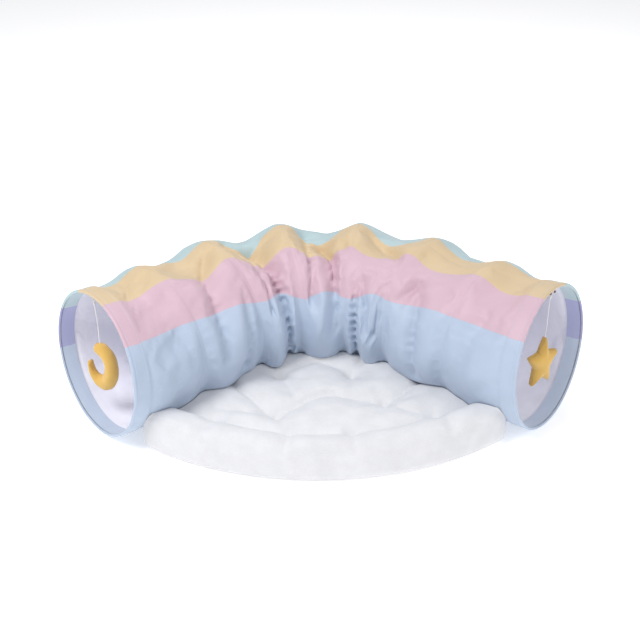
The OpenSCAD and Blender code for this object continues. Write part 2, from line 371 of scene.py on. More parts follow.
def striped_material(name, darker=1.0):
    """Printed polyester: stripes by the print's own coordinate, with a fine weave and a soft sheen."""
    n = Nodes(name, Roughness=0.52)
    n.shader.inputs["Sheen Weight"].default_value = 0.2
    n.shader.inputs["Sheen Roughness"].default_value = 0.4
    where = n.add("ShaderNodeUVMap", uv_map="UVMap").outputs[0]
    split = n.add("ShaderNodeSeparateXYZ")
    n.wire(where, split.inputs[0])
    share = n.math("FRACT", n.math("DIVIDE", split.outputs[1], V_ROUND))
    bleed = n.math("MULTIPLY", n.math("SUBTRACT", n.noise(where, 260, 2), 0.5), 0.004)
    stops, place = [], 0.0
    for _, end, colour in STRIPES:
        stops.append((place, tuple(c * darker for c in colour)))
        place = (end - SEAM_DEG) / 360
    colour = n.ramp(n.math("ADD", share, bleed), stops, constant=True)
    cloud = n.ramp(n.noise(where, 22, 3), ((0.3, (0.95, 0.95, 0.95)), (0.7, (1.0, 1.0, 1.0))))
    colour = n.mix("MULTIPLY", 1.0, colour, cloud)
    threads = n.ramp(n.noise(where, 900, 2), ((0.3, (0.965, 0.965, 0.965)), (0.7, (1.0, 1.0, 1.0))))
    colour = n.mix("MULTIPLY", 1.0, colour, threads)
    creases = n.bump(n.noise(where, 60, 4, 0.6), 1.2 * MM, 0.35)
    normal = n.bump(weave(n, where, 0.9 * MM), 0.05 * MM, 0.5, creases)
    return n.done(colour, normal)


def plain_cloth(name, colour, pitch, roughness=0.7, sheen=0.2, crease=0.3, uv=True):
    """Plain woven cloth of one colour, with slight clouding, creases and a weave."""
    n = Nodes(name, Roughness=roughness)
    n.shader.inputs["Sheen Weight"].default_value = sheen
    if uv:
        where = n.add("ShaderNodeUVMap", uv_map="UVMap").outputs[0]
    else:
        where = n.add("ShaderNodeTexCoord").outputs["Object"]
    low = tuple(c * 0.93 for c in colour)
    tone = n.ramp(n.noise(where, 30, 3), ((0.3, low), (0.7, colour)))
    creases = n.bump(n.noise(where, 45, 4, 0.6), 1.2 * MM, crease)
    normal = n.bump(weave(n, where, pitch), 0.05 * MM, 0.5, creases)
    return n.done(tone, normal)


def plush_material(name, colour, pile, deep, sheen=0.5):
    """Short-pile fabric: soft mottling, fine fibre bump and a velvety sheen."""
    n = Nodes(name, Roughness=0.9)
    n.shader.inputs["Sheen Weight"].default_value = sheen
    n.shader.inputs["Sheen Roughness"].default_value = 0.5
    where = n.add("ShaderNodeTexCoord").outputs["Object"]
    tone = n.ramp(n.noise(where, 35, 4), ((0.3, tuple(c * 0.92 for c in colour)), (0.7, colour)))
    fibre = n.ramp(n.noise(where, 1 / pile, 2), ((0.25, (0.9, 0.9, 0.9)), (0.75, (1.0, 1.0, 1.0))))
    tone = n.mix("MULTIPLY", 1.0, tone, fibre)
    soft = n.bump(n.noise(where, 90, 3), 1.5 * MM, 0.3)
    normal = n.bump(n.noise(where, 1 / pile, 3, 0.7), deep, 0.6, soft)
    return n.done(tone, normal)


def steel_material():
    """Drawn spring steel with faint lines along the wire."""
    n = Nodes("spring_steel", Metallic=1.0, Roughness=0.32)
    where = n.add("ShaderNodeTexCoord").outputs["Object"]
    tone = n.ramp(n.noise(where, 300, 4), ((0.3, (0.42, 0.43, 0.45)), (0.7, (0.60, 0.61, 0.63))))
    return n.done(tone, n.bump(n.noise(where, 900, 3), 0.1 * MM, 0.4))


PRINT = striped_material("striped_print")
FACING = striped_material("striped_facing", 0.92)
LINING = plain_cloth("lining", (0.84, 0.84, 0.93), 0.8 * MM)
for thin, painted_glow, painted_glow_colour in ((FACING, 0.14, (0.80, 0.86, 1.0, 1)), (LINING, 0.07, (0.93, 0.93, 1.0, 1))):
    # painted light: an even glow on the facing and the lining stands in for the light that comes through the
    # thin cloth from outside, and lifts them out of the tunnel's shade
    thin.node_tree.nodes["Principled BSDF"].inputs["Emission Color"].default_value = painted_glow_colour
    thin.node_tree.nodes["Principled BSDF"].inputs["Emission Strength"].default_value = painted_glow
CHANNEL_TAPE = plain_cloth("channel_tape", (0.76, 0.77, 0.86), 0.7 * MM)
THREAD_BLUE = plain_cloth("sewing_thread", (0.60, 0.70, 0.86), 0.3 * MM, 0.6, 0.1, 0.1, uv=False)
STEEL = steel_material()
PLUSH_WHITE = plush_material("white_plush", (0.80, 0.80, 0.82), 1.1 * MM, 0.5 * MM, 0.3)
PLUSH_GOLD = plush_material("gold_plush", (0.80, 0.50, 0.12), 0.9 * MM, 0.35 * MM, 0.35)
PLUSH_GOLD_SEAM = plush_material("gold_seam", (0.74, 0.46, 0.12), 0.6 * MM, 0.2 * MM, 0.2)
THREAD_WHITE = plain_cloth("quilting_thread", (0.84, 0.84, 0.87), 0.4 * MM, 0.7, 0.1, 0.1, uv=False)
BASE_CLOTH = plain_cloth("base_cloth", (0.55, 0.55, 0.58), 2.2 * MM, 0.8, 0.1, uv=False)
FILLING = plush_material("fibre_filling", (0.88, 0.88, 0.89), 2.5 * MM, 1.5 * MM, 0.1)
TAPE = plain_cloth("hook_and_loop", (0.80, 0.80, 0.83), 0.8 * MM, 0.85, 0.1, uv=False)
STRING = plain_cloth("white_cord", (0.85, 0.84, 0.84), 0.5 * MM, 0.7, 0.1, 0.1, uv=False)
KNOT_BROWN = plain_cloth("brown_cord", (0.16, 0.10, 0.07), 0.5 * MM, 0.7, 0.1, 0.1, uv=False)


# ---- Camera, floor and light ----
def camera():
    azimuth, elevation, distance = math.radians(-1.6), math.radians(31.3), 1.6
    target = Vector((-0.0068, 0.0, 0.2058))
    back = Vector((math.sin(azimuth) * math.cos(elevation),
                   -math.cos(azimuth) * math.cos(elevation), math.sin(elevation)))
    data = bpy.data.cameras.new("camera")
    data.lens, data.sensor_width = 56.25, 36
    cam = link(bpy.data.objects.new("camera", data))
    cam.location = target + distance * back
    cam.rotation_mode = "QUATERNION"
    cam.rotation_quaternion = (-back).to_track_quat("-Z", "Y")
    SCENE.camera = cam


def area_light(name, place, power, size, aim=(0, 0.05, 0.1)):
    data = bpy.data.lights.new(name, "AREA")
    data.energy, data.size = power, size
    lamp = link(bpy.data.objects.new(name, data))
    lamp.location = place
    lamp.rotation_mode = "QUATERNION"
    lamp.rotation_quaternion = (Vector(aim) - Vector(place)).to_track_quat("-Z", "Y")


def studio():
    corners = [(-6, -6, 0), (6, -6, 0), (6, 6, 0), (-6, 6, 0)]
    floor = mesh_object("floor", corners, [(0, 1, 2, 3)], smooth=False)
    floor.location.z = -0.3 * MM
    n = Nodes("floor", Roughness=0.9)
    n.shader.inputs["Base Color"].default_value = (0.93, 0.93, 0.935, 1)
    n.shader.inputs["Emission Color"].default_value = (1, 1, 1, 1)
    n.shader.inputs["Emission Strength"].default_value = 0.38
    paint(floor, n.done())
    area_light("key", (-1.3, -0.7, 2.3), 42, 1.0)
    area_light("fill", (1.8, -1.3, 1.7), 20, 1.8)
    area_light("back", (0.3, 1.8, 1.9), 12, 1.6)
    world = bpy.data.worlds.new("studio")
    world.use_nodes = True
    sky = world.node_tree.nodes["Background"]
    sky.inputs["Color"].default_value = (0.96, 0.97, 1.0, 1)
    sky.inputs["Strength"].default_value = 0.45
    SCENE.world = world
    SCENE.view_settings.view_transform = "Standard"


# ---- Tunnel fabric ----
# How far each bay billows out between its hoops on the mat's side, and how strongly it sags on top
PUFF = {1: 5 * MM, 2: 17 * MM, 3: 29 * MM, 4: 29 * MM, 5: 29 * MM, 6: 17 * MM, 7: 5 * MM}
SAG = {1: 0.5, 2: 0.7, 3: 1.0, 4: 1.0, 5: 1.0, 6: 0.7, 7: 0.5}
# Creases pressed into the fabric: depth and half-width in millimetres, then the points of its line.
# Each point is a place along the tunnel counted in hoops, and an angle round it in degrees, from the mat's
# side over the top. Most are measured ones, rounded to a tenth of a hoop's spacing and to ten degrees.
CREASES = (
    (16, 11, ((1.9, 100), (1.5, 60), (1.3, 0))),
    (14, 9, ((1.9, 50), (1.7, -20))),
    (15, 10, ((2.2, 100), (2.4, 70), (2.3, 20))),
    (34, 12, ((2.5, 90), (2.6, 50), (2.8, -30))),
    (17, 8, ((3.0, 50), (2.9, -20))),
    (14, 9, ((3.3, 100), (3.3, 20))),
    (30, 11, ((3.5, 80), (3.7, 50), (3.9, 0))),
    (34, 11, ((3.9, 70), (4.1, 40), (4.3, -30))),
    (17, 9, ((4.3, 40), (4.6, 0))),
    (15, 11, ((4.2, 90), (4.9, 60))),
    (26, 10, ((5.1, 80), (5.0, 50), (4.8, 0))),
    (19, 10, ((5.3, 50), (4.9, 10))),
    (15, 11, ((5.4, 40), (5.6, -20))),
    (6, 18, ((0.5, 90), (0.8, 10))),
    (6, 18, ((6.4, 80), (6.3, 0))),
    (6, 14, ((1.1, 110), (1.9, 150))),
    (8, 14, ((2.1, 120), (2.9, 160))),
    (8, 14, ((3.9, 110), (3.2, 150))),
    (8, 14, ((4.1, 130), (4.9, 170))),
    (6, 14, ((5.9, 100), (5.2, 140))),
)


def on_tube(place, angle):
    """Point of the smooth tube at a place counted in hoops and an angle in degrees."""
    b = min(BAYS, int(place) + 1)
    centre, direction = BAY[b].at(place - (b - 1))
    side, up = cross_frame(direction)
    a = math.radians(angle)
    return centre + TUBE_R * (math.cos(a) * side + math.sin(a) * up)


def smooth_line(points, steps=12):
    """Points along a smooth curve through the given ones."""
    p = np.array([points[0], *points, points[-1]], float)
    out = []
    for a, b, c, d in zip(p, p[1:], p[2:], p[3:]):
        for t in np.linspace(0, 1, steps, endpoint=False):
            out.append(0.5 * (2 * b + (c - a) * t + (2 * a - 5 * b + 4 * c - d) * t**2
                              + (3 * b - 3 * c + d - a) * t**3))
    return np.array(out + [p[-1]])


def crease_lines():
    """(depth at each point, half-width, points on the tube) of every crease."""
    lines = []
    for depth, width, path in CREASES:
        line = smooth_line(path)
        fade = np.sin(math.pi * np.linspace(0.16, 0.80, len(line))) ** 0.5
        lines.append((depth * MM * fade, width * MM, np.array([on_tube(*q) for q in line])))
    return lines


def creased(points, lines):
    """How deep the creases press into the fabric at each point."""
    depth = np.zeros(points.shape[:-1])
    for depths, width, line in lines:
        gap = np.linalg.norm(points[..., None, :] - line, axis=-1)
        near = gap.argmin(-1)
        reach = np.sqrt(gap.min(-1) ** 2 + (1.5 * MM) ** 2) - 1.5 * MM
        depth = np.maximum(depth, depths[near] * np.exp(-(reach / width) ** 1.2))
    return depth


def billow(b, s, angle):
    """How far the fabric of bay b stands out of its smooth tube before its creases, in metres."""
    inner = max(0.0, math.cos(angle))
    over = max(0.0, math.sin(angle))
    bell = math.sin(math.pi * s)
    below = 0.45 if math.sin(angle) < -0.5 else 1.0
    puff = PUFF[b] * inner ** 0.8 * bell ** 0.6 * below
    sag = -24 * MM * over ** 1.4 * bell ** 1.5 * SAG[b]
    around = Vector((2.2 * s + 3 * b, 2.4 * math.cos(angle), 2.4 * math.sin(angle)))
    from_hem = {1: s, BAYS: 1 - s}.get(b, 1.0)
    grain = 8 * MM * noise.noise(around) * bell ** 0.8 * min(1.0, (2.2 * from_hem) ** 1.5)
    return puff + sag + grain


def bay_rows(b):
    """Shares of bay b at which its rows of points lie: two held rows at each end, and free ones between."""
    bay = BAY[b]
    first = [m / bay.length for m in bay.margins[0]]
    last = [1 - m / bay.length for m in bay.margins[1]][::-1]
    return np.array(first + list(np.linspace(first[-1], last[0], ALONG + 2)[1:-1]) + last)


def bay_start(b, lines):
    """Points of bay b's fabric with its large folds in it, before it settles."""
    bay, rows = BAY[b], bay_rows(b)
    angles = 2 * math.pi * np.arange(AROUND) / AROUND
    smooth = np.zeros((len(rows), AROUND, 3))
    out = np.zeros_like(smooth)
    stand = np.zeros((len(rows), AROUND))
    for j, s in enumerate(rows):
        centre, direction = bay.at(float(s))
        side, up = cross_frame(direction)
        out[j] = np.cos(angles)[:, None] * side + np.sin(angles)[:, None] * up
        smooth[j] = centre + TUBE_R * out[j]
        share = min(1.0, max(0.0, (s - rows[1]) / (rows[-2] - rows[1])))
        from_hem = {1: share, BAYS: 1 - share}.get(b, 1.0)
        drop = HOLD_DROP + (HEM_DROP - HOLD_DROP) * max(0.0, 1 - from_hem / 0.12)
        stand[j] = [billow(b, share, a) for a in angles]
        stand[j] -= creased(smooth[j], lines) * min(1, 4 * share, 4 * (1 - share)) + drop
    return smooth + out * stand[..., None]


def cloth_object(name, starts, cuts, faces, held):
    """A mesh with Cloth on it, whose rest lengths are those of the cut cloth."""
    obj = mesh_object(name, starts, faces)
    obj.shape_key_add(name="Basis")
    cut = obj.shape_key_add(name="cut")
    cut.data.foreach_set("co", np.asarray(cuts, np.float32).ravel())
    group = obj.vertex_groups.new(name="held")
    group.add([int(i) for i in held], 1.0, "REPLACE")
    cloth = obj.modifiers.new("cloth", "CLOTH")
    cloth.settings.vertex_group_mass = "held"
    cloth.settings.rest_shape_key = cut
    return obj, cloth


def run_cloth(obj, frames):
    """Steps the simulation and returns the settled points."""
    obj.modifiers["cloth"].point_cache.frame_end = frames
    for f in range(1, frames + 1):
        SCENE.frame_set(f)
    settled = obj.evaluated_get(bpy.context.evaluated_depsgraph_get()).to_mesh()
    co = np.zeros(len(settled.vertices) * 3)
    settled.vertices.foreach_get("co", co)
    SCENE.frame_set(1)
    bpy.data.objects.remove(obj)
    return co.reshape(-1, 3)


def settle_fabric():
    """Grids of points of every bay's fabric, settled as cloth between its hoops."""
    lines = crease_lines()
    starts = [bay_start(b, lines) for b in range(1, BAYS + 1)]
    faces, held, count = [], [], 0
    for start in starts:
        rows = len(start)
        index = count + np.arange(rows * AROUND).reshape(rows, AROUND)
        nxt = np.roll(index, -1, 1)
        faces += np.stack([index[:-1], nxt[:-1], nxt[1:], index[1:]], -1).reshape(-1, 4).tolist()
        held += index[[0, 1, -2, -1]].ravel().tolist()
        count += rows * AROUND
    points = np.concatenate([p.reshape(-1, 3) for p in starts])
    obj, cloth = cloth_object("tunnel_cloth", points, points * SPARE, faces, held)
    s = cloth.settings
    s.quality, s.mass, s.air_damping = 6, 0.15, 3
    s.tension_stiffness, s.compression_stiffness, s.shear_stiffness = 40, 20, 8
    s.tension_damping, s.compression_damping, s.shear_damping = 10, 10, 10
    s.bending_model, s.bending_stiffness, s.bending_damping = "ANGULAR", 12.0, 2
    cloth.collision_settings.use_collision = False
    cloth.collision_settings.use_self_collision = True
    cloth.collision_settings.self_distance_min = 3 * MM
    moved = run_cloth(obj, 18) - points
    size = np.linalg.norm(moved, axis=1, keepdims=True)
    settled = points + moved * SETTLE_CAP * np.tanh(size / SETTLE_CAP) / (size + 1e-9)
    grids, count = [], 0
    for start in starts:
        n = start.shape[0] * AROUND
        grids.append(settled[count:count + n].reshape(start.shape))
        count += n
    return grids


FLOOR_CLEAR = 1.2 * MM


def off_floor(grid):
    grid = grid.copy()
    grid[..., 2] = np.maximum(grid[..., 2], FLOOR_CLEAR)
    return grid


def print_coords(b, grid_rows, cols, shares):
    """u along the tunnel and v round it, in metres, for a grid of bay b."""
    u = np.array([(b - 1 + s) * 0.15 for s in shares])
    v = np.zeros((grid_rows, cols))
    for j, s in enumerate(shares):
        position = (b - 1 + s) / BAYS
        v[j] = v_round(position, cols)
    return u, v


def calmer(grid, times):
    """The grid with its fine folds smoothed away; its first and last two rows stay."""
    grid = grid.copy()
    for _ in range(times):
        middle = (grid[1:-3] + grid[3:-1]) / 4 + (np.roll(grid, 1, 1) + np.roll(grid, -1, 1))[2:-2] / 4
        grid[2:-2] = (grid[2:-2] + middle) / 2
    return grid


def lining_grid(cover, b, shares):
    """Outer points of the lining: smoother than the cover, a gap inside it, and pushed in by each channel."""
    out = grid_normals(cover)
    calm = calmer(cover, 24) - out * (COVER_T + LINING_GAP)
    room = ((cover - calm) * out).sum(2, keepdims=True)
    dip = np.zeros(len(shares))
    for end, is_mouth in ((0, b == 1), (1, b == BAYS)):
        near = np.abs(shares - end) * BAY[b].length / (6 * MM)
        dip = np.maximum(dip, 0 if is_mouth else LINING_DIP * np.exp(-near**2))
    lining = calm - out * (np.maximum(0, COVER_T + LINING_GAP - room) + dip[:, None, None])
    middle = cover.mean(1, keepdims=True)
    room = np.linalg.norm(cover - middle, axis=2)
    for _ in range(2):
        room = np.minimum(room, np.minimum(np.roll(room, 1, 1), np.roll(room, -1, 1)))
        padded = np.pad(room, ((1, 1), (0, 0)), mode="edge")
        room = np.minimum(room, np.minimum(padded[:-2], padded[2:]))
    arm = lining - middle
    size = np.linalg.norm(arm, axis=2)
    arm *= np.minimum(1, (room - COVER_T - LINING_GAP) / size)[..., None]
    return outside_facing(middle + arm, b)


def outside_facing(grid, b, gap=0.0):
    """The fabric of a bay at a mouth, kept outside the facing by a gap that closes further in."""
    if b not in (1, BAYS):
        return grid
    centre, inward = rim(LEFT if b == 1 else RIGHT)
    offset = grid - centre
    depth = offset @ inward
    radial = offset - depth[..., None] * inward
    size = np.linalg.norm(radial, axis=2)
    least = TUBE_R - 2.7 * MM + gap - 0.5 * np.maximum(0, depth - HEM_W - 2 * MM)
    return grid + radial * (np.maximum(0, least - size) / size)[..., None]


def build_bays(grids):
    """The cover and lining of each bay, between the hoops at its ends. Returns the covers' grids of points.
    """
    pieces = []
    for b, grid in enumerate(grids, 1):
        grid = outside_facing(finer(off_floor(grid)), b, COVER_T + LINING_GAP)
        rows, cols = grid.shape[:2]
        coarse = bay_rows(b)
        shares = np.interp(np.linspace(0, len(coarse) - 1, rows), np.arange(len(coarse)), coarse)
        u, v = print_coords(b, rows, cols, shares)
        out = grid_normals(grid)
        inner = grid - out * COVER_T
        lining_out = lining_grid(grid, b, shares)
        lining_in = lining_out - grid_normals(lining_out) * LINING_T
        cover = paint(sheet_tube(f"cover_{b}", grid, inner, u, v), PRINT)
        lining = paint(sheet_tube(f"lining_{b}", lining_out, lining_in, u, v), LINING)
        for piece, node, slot in ((cover, f"cover_{b}", "striped_cover"), (lining, f"lining_{b}", "lining")):
            piece.name = f"{node}_fabric"
            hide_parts(node)
            blend_bay(piece)
        pieces.append(grid)
    return pieces


def blend_bay(piece):
    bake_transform(piece)


def revolve(centre, direction, profile, cols, ripple=0.0, phase=0.0):
    """Grid of points of a profile of (along, radius) turned about a ring's axis, with a slight ripple."""
    side, up = cross_frame(direction)
    grid = np.zeros((len(profile), cols, 3))
    for j, (x, r) in enumerate(profile):
        for k in range(cols):
            a = 2 * math.pi * k / cols
            wave = ripple * noise.noise(Vector((2.5 * math.cos(a) + phase, 2.5 * math.sin(a), 60 * x)))
            grid[j, k] = centre + direction * x + (r + wave) * (math.cos(a) * side + math.sin(a) * up)
    return grid


def channel_band(i):
    """The sewn channel over hoop i: the print outside, crowned over the wire, and tape inside."""
    centre, direction, _ = WIRES[i]
    cols = 2 * AROUND
    xs = np.linspace(-BAND_HALF, BAND_HALF, 9)
    crown = [(x, TUBE_R - 1.0 * MM - 0.5 * MM * (abs(x) / BAND_HALF) ** 2) for x in xs]
    inside = [(x, TUBE_R - 4.0 * MM - 0.8 * MM * math.cos(math.pi / 2 * x / BAND_HALF)) for x in xs]
    outer = revolve(centre, direction, crown, cols)
    inner = revolve(centre, direction, inside, cols)
    for grid in (outer, inner):
        grid[..., 2] = np.maximum(grid[..., 2], 0)
    position = i / BAYS
    u = np.array([i * 0.15 + x for x in xs])
    v = np.tile(v_round(position, cols), (len(xs), 1))
    band = sheet_tube(f"hoop_channel_{i}_band", outer, inner, u, v)
    paint(band, PRINT, CHANNEL_TAPE)
    verts = len(xs) * cols
    for p in band.data.polygons:
        if all(q >= verts for q in p.vertices):
            p.material_index = 1
    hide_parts(f"hoop_channel_{i}")
    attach(band, HOOP_BODY[i])


def hem_piece(side):
    """The turned hem: one layer outside the cover, rolled round the rim's wire."""
    name = "left" if side == LEFT else "right"
    centre, inward = rim(side)
    cols = 2 * AROUND
    seat = TUBE_R - RIM_R
    outside = [(x, TUBE_R - 0.4 * MM) for x in np.linspace(HEM_W, 2 * RIM_R, 8)]
    turns = np.linspace(-0.6, math.pi * 0.9, 13)
    roll = [(RIM_R - RIM_R * math.sin(t), seat + RIM_R * math.cos(t)) for t in turns]
    profile_out = outside + roll
    thin = 0.9 * MM
    inside = [(x, r - thin) for x, r in outside]
    core = [(RIM_R - (RIM_R - thin) * math.sin(t), seat + (RIM_R - thin) * math.cos(t)) for t in turns]
    outer = revolve(centre, inward, profile_out, cols, 0.8 * MM, side)
    inner = revolve(centre, inward, inside + core, cols, 0.8 * MM, side)
    end = 0 if side == LEFT else 1
    u = np.array([end * BAYS * 0.15 + x for x, _ in profile_out])
    v = v_round_mouth(side, cols, len(profile_out))
    hem = paint(sheet_tube(f"hem_{name}_rim", outer, inner, u, v), PRINT)
    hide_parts(f"hem_{name}")
    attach(hem, HOOP_BODY[0 if side == LEFT else BAYS])
    u = np.linspace(FACING_START, HEM_W, FACING_ROWS)
    lean = [(x, TUBE_R - FACING_DROP - FACING_LEAN * min(1, x / FACING_LEAN_LENGTH)) for x in u]
    facing_out = revolve(centre, inward, lean, cols, 0.5 * MM, side)
    facing_in = revolve(centre, inward, [(x, r - FACING_T) for x, r in lean], cols, 0.5 * MM, side)
    v = v_round_mouth(side, cols, FACING_ROWS)
    facing = paint(sheet_tube(f"facing_{name}_print", facing_out, facing_in, u, v), FACING)
    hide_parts(f"facing_{name}")
    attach(facing, HOOP_BODY[0 if side == LEFT else BAYS])


def v_round_mouth(side, cols, rows):
    """The print's coordinate round a mouth. The right mouth's ring runs the other way round."""
    angles = np.arange(cols) / cols * V_ROUND
    if side == RIGHT:
        # the side direction flips with the ring's own direction, so its angle is mirrored
        return np.tile((v_at(180, 1) - angles), (rows, 1))
    return np.tile(v_at(0, 0) + angles, (rows, 1))


def stitches(side):
    """Sewing stitches round a mouth: one row at the hem's edge and one behind the rolled rim."""
    name = "left" if side == LEFT else "right"
    centre, inward = rim(side)
    e0, e1 = cross_frame(inward)
    verts, faces = [], []
    pitch, length, wide, high = 4.2 * MM, 2.9 * MM, 0.45 * MM, 0.35 * MM
    count = int(2 * math.pi * TUBE_R / pitch)
    for x, r in ((HEM_W - 3 * MM, TUBE_R - 0.35 * MM), (2 * RIM_R + 1.2 * MM, TUBE_R - 0.35 * MM)):
        for k in range(count):
            a = 2 * math.pi * k / count
            out = math.cos(a) * e0 + math.sin(a) * e1
            tangent = -math.sin(a) * e0 + math.cos(a) * e1
            wave = 0.8 * MM * noise.noise(Vector((2.5 * math.cos(a) + side, 2.5 * math.sin(a), 60 * x)))
            middle = centre + inward * x + out * (r + wave)
            base = len(verts)
            for t, w, h in ((-0.5, 0, 0), (-0.25, 1, 1), (0.25, 1, 1), (0.5, 0, 0)):
                spot = middle + tangent * t * length
                for dx, dh in ((-1, 0), (0, 1), (1, 0), (0, -0.6)):
                    sideways = inward * dx * wide * (0.5 + 0.5 * w) / 2
                    verts.append(spot + sideways + out * dh * high * (0.3 + 0.7 * h))
            for j in range(3):
                for q in range(4):
                    a0, a1 = base + 4 * j + q, base + 4 * j + (q + 1) % 4
                    faces.append((a0, a1, a1 + 4, a0 + 4))
            faces += [tuple(base + q for q in (3, 2, 1, 0)), tuple(base + 12 + q for q in (0, 1, 2, 3))]
    row = paint(mesh_object(f"rim_stitches_{name}", verts, faces), THREAD_BLUE)
    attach(row, HOOP_BODY[0 if side == LEFT else BAYS])


def tunnel():
    grids = settle_fabric()
    covers = build_bays(grids)
    for i in range(1, BAYS):
        channel_band(i)
        paint(NODES[f"hoop_wire_{i}"], STEEL)
    for side in (LEFT, RIGHT):
        hem_piece(side)
        stitches(side)
    for name in ("left", "right"):
        paint(NODES[f"mouth_wire_{name}"], STEEL)
    return covers


# ---- Mat ----
MAT_FRONT_R = 520 * MM
MAT_CENTRE_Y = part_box("mat_cover")[0][1] + MAT_FRONT_R      # centre of the curved front edge
MAT_SIDE = 92 * MM             # from the tunnel's centreline to the mat's side
BOLSTER_DEPTH = 60 * MM
PAD_H = 61 * MM
BOLSTER_H = 71 * MM
MAT_BOTTOM = 1.7 * MM
MAT_WAIST = 19 * MM             # height of the mat's widest line
CORNER_ROUND = 5 * MM
SWELL = 13 * MM                 # most that the mat's cover may swell
SEAM_FOLD_DEPTH = 11 * MM       # folds from the seam's tufts across the bolster
SEAM_FOLD_HALF = 12 * MM
SEAM_FOLD_BOW = 4 * MM
BOLSTER_SEAM_DEPTH = 20 * MM    # dip along the bolster's seam
BOLSTER_SEAM_HALF = 14 * MM
END_RISE = 8 * MM               # how much higher the bolster stands at its ends
END_AT = 190 * MM               # and how far from its middle they are
NEAR_TUNNEL = 160 * MM          # points of the mat this near the tunnel's centreline are pressed clear of it
RAY_FROM = 170 * MM             # and are looked for from this far out
# Quilting tufts in plan, in millimetres: two at the back, two in the middle, a row along the bolster's seam
BACK_LEFT, BACK_RIGHT, MID_LEFT, MID_RIGHT = PAD_TUFTS = ((-75, 75), (50, 75), (-80, -40), (100, -10))
SEAM_TUFT_XS = (-180, -60, 40, 180)
# Folds that the tufts draw across the pad: depth, half-width and line in plan, all in millimetres.
# The tufts and the folds' points are measured ones, rounded to ten millimetres, the back tufts to five.
MAT_CREASES = (
    (19, 15, ((-180, 70), (-120, 0), MID_LEFT, (0, 10), MID_RIGHT, (170, 50))),
    (16, 13, (BACK_LEFT, (-10, 110), BACK_RIGHT)),
    (15, 12, (BACK_LEFT, (-90, 110))),
    (15, 12, (BACK_RIGHT, (70, 110))),
    (10, 15, (MID_LEFT, (-60, -100))),
    (9, 14, (MID_RIGHT, (40, -100))),
    (10, 14, (MID_RIGHT, (180, -80))),
    (9, 14, (MID_LEFT, (-180, -30))),
    (8, 14, (BACK_LEFT, (-50, 0))),
    (8, 14, (BACK_RIGHT, (50, 10))),
)


def centreline(beyond=0.12):
    """Plan of the tunnel's centreline, run straight on past both mouths."""
    line = [BAY[b].at(s)[0][:2] for b in range(1, BAYS + 1) for s in np.linspace(0, 1, 30, endpoint=False)]
    line.append(BAY[BAYS].z[:2])
    first, last = BAY[1].tz[:2], BAY[BAYS].ta[:2]
    start = [line[0] - unit(first) * t for t in np.linspace(beyond, 0.005, 24)]
    end = [line[-1] + unit(last) * t for t in np.linspace(0.005, beyond, 24)]
    return np.array(start + line + end)


CENTRELINE = centreline()


def from_centreline(xy):
    return np.linalg.norm(xy[..., None, :] - CENTRELINE, axis=-1).min(-1)


def from_front(xy):
    """Distance behind the mat's curved front edge."""
    return MAT_FRONT_R - np.hypot(xy[..., 0], xy[..., 1] - MAT_CENTRE_Y)


def inside_mat(xy, inset=0.0):
    """Distance inside the mat's outline, with its corners rounded."""
    side = (from_centreline(xy) - MAT_SIDE) / CORNER_ROUND
    front = from_front(xy) / CORNER_ROUND
    low = np.minimum(side, front)
    return (low - np.log(np.exp(low - side) + np.exp(low - front))) * CORNER_ROUND - inset


def on_bolster_seam(x):
    r = MAT_FRONT_R - BOLSTER_DEPTH
    return (x, 1000 * (MAT_CENTRE_Y - math.sqrt(r**2 - (x * MM) ** 2)))


TUFTS = np.array([*PAD_TUFTS, *(on_bolster_seam(x) for x in SEAM_TUFT_XS)]) * MM


def mat_folds(xy):
    """How deep tufts and folds draw in the top of the mat."""
    dip = np.zeros(xy.shape[:-1])
    lines = [(d * MM, w * MM, smooth_line(path) * MM) for d, w, path in MAT_CREASES]
    for x in SEAM_TUFT_XS:
        tuft = np.array(on_bolster_seam(x)) * MM
        front = tuft + unit(tuft - (0, MAT_CENTRE_Y)) * (BOLSTER_DEPTH - 10 * MM)
        middle = (tuft + front) / 2 + (SEAM_FOLD_BOW, 0)
        lines.append((SEAM_FOLD_DEPTH, SEAM_FOLD_HALF, smooth_line((tuft, middle, front))))
    for depth, width, line in lines:
        gap = np.linalg.norm(xy[..., None, :] - line, axis=-1).min(-1)
        dip = np.maximum(dip, depth * np.exp(-gap / width))
    seam = np.abs(from_front(xy) - BOLSTER_DEPTH)
    dip = np.maximum(dip, BOLSTER_SEAM_DEPTH * np.exp(-seam / BOLSTER_SEAM_HALF))
    for tuft in TUFTS:
        gap = np.linalg.norm(xy - tuft, axis=-1)
        dip = np.maximum(dip, 34 * MM * np.exp(-gap / (15 * MM)))
    return dip


def bulge(distance, reach):
    """Profile of a rounded edge: 0 at the edge, and 1 from `reach` inside it."""
    return np.sqrt(1 - (1 - np.clip(distance / reach, 0, 1)) ** 2)


def mat_outline(inset, spokes=360):
    """The mat's outline in plan, found along spokes from a middle point."""
    middle = np.array((0, -0.035))
    turn = 2 * math.pi * np.arange(spokes) / spokes
    rays = np.stack([np.cos(turn), np.sin(turn)], -1)
    near, far = np.zeros(spokes), np.full(spokes, 0.33)
    for _ in range(26):
        half = (near + far) / 2
        inside = inside_mat(middle + rays * half[:, None], inset) > 0
        near, far = np.where(inside, half, near), np.where(inside, far, half)
    return middle, rays * near[:, None]


